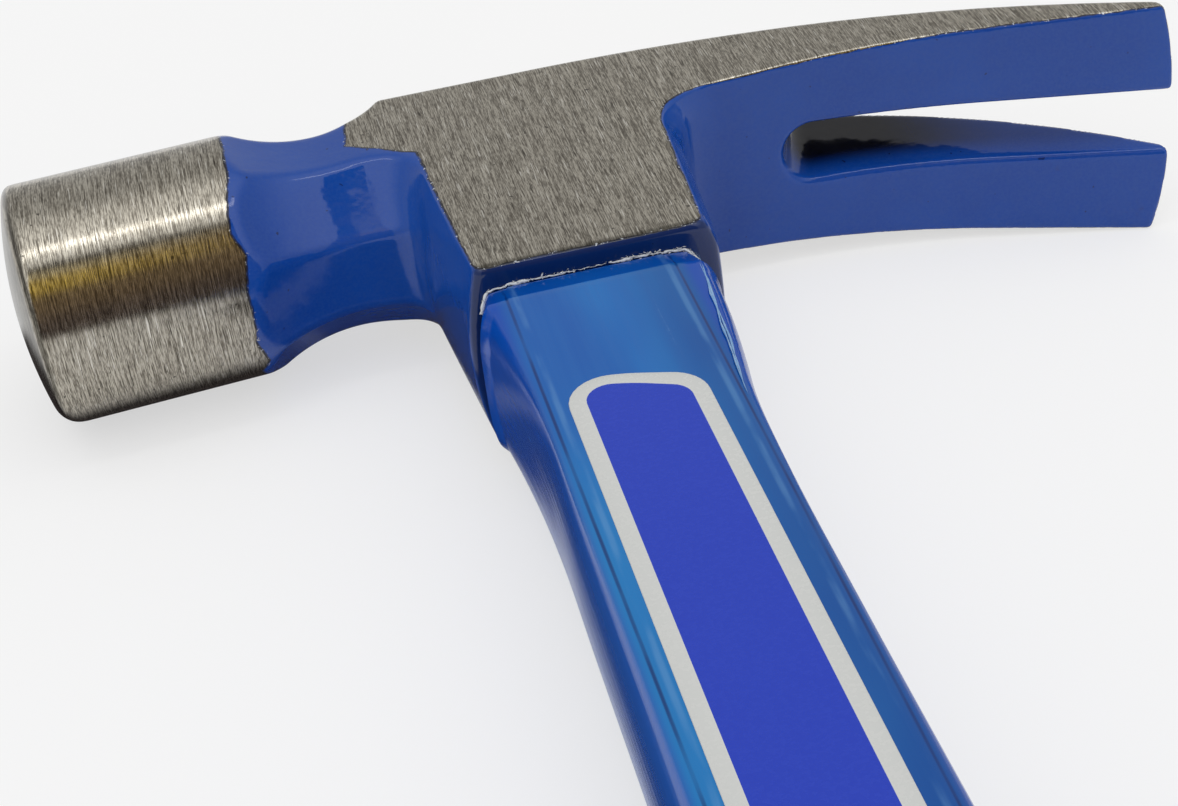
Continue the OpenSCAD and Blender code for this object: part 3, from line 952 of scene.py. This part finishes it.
def build_jacket(material):
    """Plastic jacket whose end follows the skirt and which runs on inside the grip."""
    rings = shoulder_rings()
    count = len(rings[0])
    sloped = count * (len(rings) - 1)
    start = rings[-1][:, 1]
    for share in np.linspace(0, 1, JACKET_RINGS[0])[1:]:
        level = start + (JACKET_JOIN - start) * share
        outline = np.array([jacket_outline(y)[i] for i, y in enumerate(level)])
        rings.append(np.column_stack([outline[:, 0], level, outline[:, 1]]))
    above = np.linspace(JACKET_JOIN, GRIP_Y - GRIP_STEP[0], JACKET_RINGS[1])[1:]
    inside = np.linspace(GRIP_Y - GRIP_STEP[1], CORE_END_Y, JACKET_RINGS[2])
    for y in np.concatenate([above, inside]):
        outline = jacket_outline(y) * (INSIDE_GRIP if y < above[-1] else 1.0)
        rings.append(np.column_stack([outline[:, 0], np.full(count, y), outline[:, 1]]))
    points, faces = loft(rings, close_start=False)
    piece = new_piece("jacket", points, faces + end_strips(count), [material], ["handle_jacket"])
    add_values(piece, "flank", np.array([flank_distance(ring) for ring in rings]).ravel())
    # Marks the jacket's end for its painted shade
    add_values(piece, "shoulder", np.where(np.arange(len(points)) < sloped, 1.0, 0.0))


def smooth_random(generator, count, step):
    """Random values from 0 to 1 that change evenly from knot to knot."""
    knots = [generator.random() for _ in range(count // step + 2)]
    return np.interp(np.arange(count) / step, np.arange(len(knots)), knots)


def tube(path, radius, sides=6, aside=(0.0, 1.0, 0.3)):
    """Closed tube with a radius at each point of a path, which never runs along aside."""
    ahead = unit(np.gradient(path, axis=0))
    first = unit(np.cross(ahead, aside))
    second = np.cross(ahead, first)
    a = 2 * math.pi * np.arange(sides) / sides
    rings = []
    for k in range(len(path)):
        around = np.outer(np.cos(a), first[k]) + np.outer(np.sin(a), second[k])
        rings.append(path[k] + radius[k] * around)
    return loft(rings)


def add_mesh(parts):
    """One list of points and faces from several."""
    points = []
    faces = []
    start = 0
    for some, more in parts:
        points.append(some)
        faces += [tuple(start + i for i in face) for face in more]
        start += len(some)
    return np.concatenate(points), faces


def build_flash(material):
    """Thin wavy wrinkle on both faces, in two strands that part and meet again."""
    generator = random.Random(4)
    levels = np.arange(*FLASH_SPAN, -FLASH_STEP)
    count = len(levels)
    at = np.arange(count)
    fade = np.minimum(np.minimum(at, at[::-1]) / FLASH_FADE, 1)
    apart = FLASH_PART * np.sin(math.pi * at / count) ** 2
    parts = []
    for side in (1, -1):
        for strand in (1, -1):
            wave = FLASH_WAVE * (smooth_random(generator, count, FLASH_KNOTS[0]) - 0.5)
            turns = np.linspace(*FLASH_TURN, count) + wave + strand * apart
            flank = np.array([flank_point(y, turn, 1) for y, turn in zip(levels, turns)])
            path = np.column_stack([flank[:, 0], levels, side * flank[:, 1]])
            thick = FLASH_LEAST + smooth_random(generator, count, FLASH_KNOTS[1])
            parts.append(tube(path, FLASH_R * fade * thick))
    points, faces = add_mesh(parts)
    new_piece("jacket_flash", points, faces, [material])


def chip(generator, place, length, sides=6, lean=0.7, least=0.5, narrow=0.35, uneven=0.1, thick=0.16):
    """Small flat chip: a ring of uneven points between two tips."""
    turn = generator.uniform(0, math.pi)
    tilt = generator.uniform(-lean, lean)
    ring = []
    for k in range(sides):
        a = 2 * math.pi * k / sides
        reach = length * generator.uniform(least, 1.0)
        height = length * generator.uniform(-uneven, uneven)
        ring.append((reach * math.cos(a), narrow * reach * math.sin(a), height))
    ring += [(0, 0, thick * length), (0, 0, -thick * length)]
    c, s = math.cos(turn), math.sin(turn)
    spin = np.array([[c, -s, 0], [s, c, 0], [0, 0, 1]])
    c, s = math.cos(tilt), math.sin(tilt)
    roll = np.array([[1, 0, 0], [0, c, -s], [0, s, c]])
    faces = []
    for k in range(sides):
        after = (k + 1) % sides
        faces += [(k, after, sides), (after, k, sides + 1)]
    return np.array(ring) @ spin.T @ roll.T + place, faces


def bead_path(generator, line, face):
    """Path of the bead along a line of the shoulder, and its radius at each point."""
    run = np.concatenate([[0], np.cumsum(np.linalg.norm(np.diff(line, axis=0), axis=1))])
    spots = np.arange(0, run[-1], BEAD_STEP)
    path = np.column_stack([np.interp(spots, run, line[:, i]) for i in range(3)])
    corner = np.abs(path[:, 0]) / JACKET_WIDTHS[0][1]
    least, uneven, cornered = BEAD_R
    size = least + uneven * smooth_random(generator, len(spots), BEAD_KNOTS[0]) ** 2 + cornered * corner ** 3
    play = smooth_random(generator, len(spots), BEAD_KNOTS[1]) - 0.5
    path[:, 1] += BEAD_LIFT[0] + BEAD_LIFT[1] * play
    path[:, 2] += face * BEAD_OFF
    return path, size


def build_squeeze_out(material):
    """Thin bead of resin along the shoulder, with flaky chips, thickest at the corners."""
    generator = random.Random(11)
    ring = shoulder_rings()[BEAD_RING]
    half = len(ring) // 2
    parts = []
    for side, face in ((0, 1), (half, -1)):
        line = ring[side + BEAD_ENDS[0]:side + half - BEAD_ENDS[1]]
        path, size = bead_path(generator, line, face)
        parts.append(tube(path, size))
        for _ in range(CHIPS):
            spot = generator.random()
            if generator.random() < CHIPS_NEAR[0]:
                spot = spot ** 2 * CHIPS_NEAR[1]
            place = path[int(spot * (len(path) - 1))].copy()
            place += (0, generator.gauss(*CHIP_LIFT), face * abs(generator.gauss(*CHIP_OFF)))
            parts.append(chip(generator, place, generator.uniform(*CHIP_LENGTH)))
    points, faces = add_mesh(parts)
    new_piece("epoxy_squeeze_out", points, faces, [material])


def grip_ring(y, x, z):
    """One ring of the grip: a rounded oval."""
    a = -2 * math.pi * np.arange(GRIP_SIDES) / GRIP_SIDES
    c, s = np.cos(a), np.sin(a)
    across = x * np.sign(c) * np.abs(c) ** (2 / GRIP_POWER)
    deep = z * np.sign(s) * np.abs(s) ** (2 / GRIP_POWER)
    return np.stack([across, np.full(GRIP_SIDES, y), deep], 1)


def groove_depth(y):
    """Depth of the moulded grooves at y."""
    below = GRIP_Y - y
    if not GROOVE_SPAN[0] < below < GROOVE_SPAN[1]:
        return 0.0
    return GROOVE_DEPTH * max(math.sin(below * 2 * math.pi / GROOVE_PITCH), 0) ** 2


def build_grip(material):
    """Rubber grip with a rolled mouth, moulded grooves and a flared, rounded butt."""
    rings = []
    for a in np.linspace(0, math.pi / 2, GRIP_RINGS[0]):
        inset = MOUTH_ROLL * (1 - math.sin(a))
        y = GRIP_Y - MOUTH_ROLL * (1 - math.cos(a))
        rings.append(grip_ring(y, GRIP_WIDTHS[0][1] - inset, GRIP_DEPTHS[0][1] - inset))
    for y in np.linspace(GRIP_Y - MOUTH_END, BUTT_Y + BUTT_ROUND, GRIP_RINGS[1]):
        groove = groove_depth(y)
        rings.append(grip_ring(y, ease(GRIP_WIDTHS, y) - groove, ease(GRIP_DEPTHS, y) - groove))
    for a in np.linspace(0, math.pi / 2, GRIP_RINGS[2])[1:]:
        inset = BUTT_ROUND * (1 - math.cos(a))
        y = BUTT_Y + BUTT_ROUND * (1 - math.sin(a))
        rings.append(grip_ring(y, GRIP_WIDTHS[-1][1] - inset, GRIP_DEPTHS[-1][1] - inset))
    points, faces = loft(rings)
    new_piece("grip_sleeve", points, faces, [material], ["grip"])


def label_outline(trim):
    """Outline of the label, or of its field when trimmed, with slanted ends."""
    upper = LABEL_HALF[0] - trim
    lower = LABEL_HALF[1] - trim
    top = LABEL_Y - trim
    bottom = LABEL_Y - LABEL_LEN + trim
    radius = LABEL_R - trim
    corners = [(lower, bottom - LABEL_SLANT, radius), (upper, top - LABEL_SLANT, radius)]
    corners += [(0, top + LABEL_ARCH, ARCH_R), (-upper, top + LABEL_SLANT, radius)]
    corners += [(-lower, bottom + LABEL_SLANT, radius)]
    return rounded_outline(corners) + np.array([LABEL_X, 0.0])


def build_label(name, node, side, border, field):
    """Printed panel on the jacket's upper (side 1) or lower (-1) face."""
    rings = []
    for trim, height in LABEL_RINGS:
        line = label_outline(trim)
        rings.append(np.column_stack([line, np.full(len(line), JACKET_Z + height)]))
    points, faces = loft(rings)
    if side < 0:
        points = points * (-1, 1, -1)
    piece = new_piece(name, points, faces, [border, field], [node])
    piece.data.polygons[len(faces) - 1].material_index = 1


# Stage, light and camera

def rectangle(middle, half, height):
    """Corners of a level rectangle."""
    signs = ((-1, -1), (1, -1), (1, 1), (-1, 1))
    return [(middle[0] + i * half[0], middle[1] + j * half[1], height) for i, j in signs]


def new_plane(name, corners, material):
    """Flat stage piece."""
    mesh = bpy.data.meshes.new(name)
    mesh.from_pydata(corners, [], [(0, 1, 2, 3)])
    mesh.materials.append(material)
    plane = link(name, mesh)
    return plane


def only_mirrored(plane):
    """Lets only reflections show a stage piece."""
    for ray in ("camera", "diffuse", "transmission", "shadow"):
        setattr(plane, "visible_" + ray, False)


def glow(tree, colour):
    """Light of an even colour."""
    return add_node(tree, "Emission", {"Color": colour, "Strength": 1.0}).outputs[0]


def set_surface(tree, output):
    """Makes an output the material's surface."""
    tree.links.new(output, tree.nodes["Material Output"].inputs["Surface"])


def build_stage():
    """Pale floor that keeps the shadow and turns plain white further out."""
    material, tree, shader = new_material("floor_white")
    shader.inputs["Base Color"].default_value = (0.96, 0.96, 0.96, 1)
    shader.inputs["Roughness"].default_value = 0.9
    shader.inputs["Specular IOR Level"].default_value = 0.1
    away = add_node(tree, "VectorMath", {0: place_of(tree)}, operation="LENGTH").outputs["Value"]
    path = add_node(tree, "LightPath").outputs
    mirrored = math_node(tree, "MAXIMUM", path["Is Glossy Ray"], path["Is Transmission Ray"])
    mirrored = times(tree, mirrored, rise(tree, away, *FLOOR_FADE, FLOOR_MIRRORED, 1.0))
    seen = times(tree, path["Is Camera Ray"], rise(tree, away, *FLOOR_FADE, FLOOR_SEEN, 1.0))
    share = math_node(tree, "MAXIMUM", seen, mirrored)
    both = add_node(tree, "MixShader", {0: share, 1: shader.outputs[0], 2: glow(tree, (1, 1, 1, 1))})
    set_surface(tree, both.outputs[0])
    new_plane("floor", rectangle((0, 0), (FLOOR_HALF, FLOOR_HALF), 0), material)


def build_card():
    """Dim card that only reflections show: dark below, warm on its left and dark again on top."""
    material, tree, _ = new_material("card_dim")
    place = axes_of(tree)
    brown, gold, pale, dark = (rise(tree, place["Z"], *ends) for ends in CARD_RISES)
    left = rise(tree, place["X"], *CARD_LEFT)
    low = layered(tree, CARD_FOOT, (brown, CARD_BROWN))
    warm = layered(tree, low, (gold, CARD_GOLD), (pale, CARD_PALE))
    tone = layered(tree, low, (left, warm), (dark, CARD_DARK))
    set_surface(tree, glow(tree, tone))
    side = CARD_HALF
    corners = [(-side, CARD_Y, 0), (side, CARD_Y, 0), (side, CARD_Y, CARD_TOP), (-side, CARD_Y, CARD_TOP)]
    only_mirrored(new_plane("card", corners, material))


def build_shadow_flag(name, middle, half, height):
    """Dark flag on the floor, fading at its edges, that only reflections show: a painted shadow under the
    head.
    """
    material, tree, _ = new_material(name + "_dark")
    place = axes_of(tree)
    share = 1.0
    for axis, at, reach in zip("XY", middle, half):
        off = distance(tree, place[axis], at)
        share = times(tree, share, rise(tree, off, reach, FLAG_SOLID * reach))
    clear = add_node(tree, "BsdfTransparent").outputs[0]
    both = add_node(tree, "MixShader", {0: share, 1: clear, 2: glow(tree, SHADOW_FLAG_COLOUR)})
    set_surface(tree, both.outputs[0])
    only_mirrored(new_plane(name, rectangle(middle, half, height), material))


def build_light():
    """Soft surround, brighter above the camera's side, with one long soft lamp overhead."""
    world = bpy.data.worlds.new("studio")
    bpy.context.scene.world = world
    world.use_nodes = True
    tree = world.node_tree
    pole = (0.0, -math.sin(SKY_LEAN), math.cos(SKY_LEAN))
    way = add_node(tree, "TexCoord").outputs["Generated"]
    up = add_node(tree, "VectorMath", {0: way, 1: pole}, operation="DOT_PRODUCT").outputs["Value"]
    back = tree.nodes["Background"]
    back.inputs["Color"].default_value = (1, 1, 1, 1)
    tree.links.new(rise(tree, up, *SKY_RANGE, SKY_LOW, SKY_HIGH), back.inputs["Strength"])
    lamp = bpy.data.lights.new("softbox", "AREA")
    lamp.shape = "RECTANGLE"
    lamp.size, lamp.size_y = (0.8, 0.06)
    lamp.energy = 0.5
    link("softbox", lamp).location = (-0.05, 0.015, 0.8)


def build_camera():
    """Camera at the photograph's viewing angle."""
    camera = bpy.data.cameras.new("camera")
    camera.sensor_fit = "HORIZONTAL"
    camera.sensor_width = 36.0
    camera.lens = 66.673
    camera.clip_start = 0.01
    holder = link("camera", camera)
    holder.location = (-0.041874, -0.079122, 0.154931)
    holder.rotation_euler = tuple(math.radians(a) for a in (54.0314, 5.8028, -13.452))
    bpy.context.scene.camera = holder


build_head(head_material())
build_jacket(jacket_material())
build_flash(mottled("jacket_flash", (900.0,), rgb(70, 140, 208), rgb(176, 208, 236), (0.15, 0.3)))
build_grip(rubber_material())
border_film = film_material("label_border", rgb(214, 216, 214), rgb(220, 221, 218))
field_film = film_material("label_field", rgb(34, 62, 190), rgb(42, 70, 198))
build_label("label_upper", "label_front", 1, border_film, field_film)
build_label("label_lower", "label_back", -1, border_film, field_film)
cloudy = (500.0, 5.0, 0.65)
resin = mottled("epoxy_resin", cloudy, rgb(206, 210, 214), rgb(240, 242, 244), (0.4, 0.6), (0.5, 0.0003))
build_squeeze_out(resin)
fibres = ((2600.0, 30.0, 2600.0), 4.0)
rod = mottled("fibreglass_rod", fibres, rgb(196, 186, 150), rgb(222, 216, 190), (0.35, 0.5))
for node, material in (("epoxy_bond", resin), ("handle_core", rod)):
    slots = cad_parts[node].data.materials
    slots.clear()
    slots.append(material)
build_stage()
build_card()
# Painted shadow on the floor under the neck, the skirt and the poll, seen only in reflections
for number, (middle, half) in enumerate(SHADOW_FLAGS):
    build_shadow_flag("flag_%d" % number, middle, half, FLAG_Z[0] + FLAG_Z[1] * number)
build_light()
build_camera()
bpy.context.scene.view_settings.view_transform = "Standard"
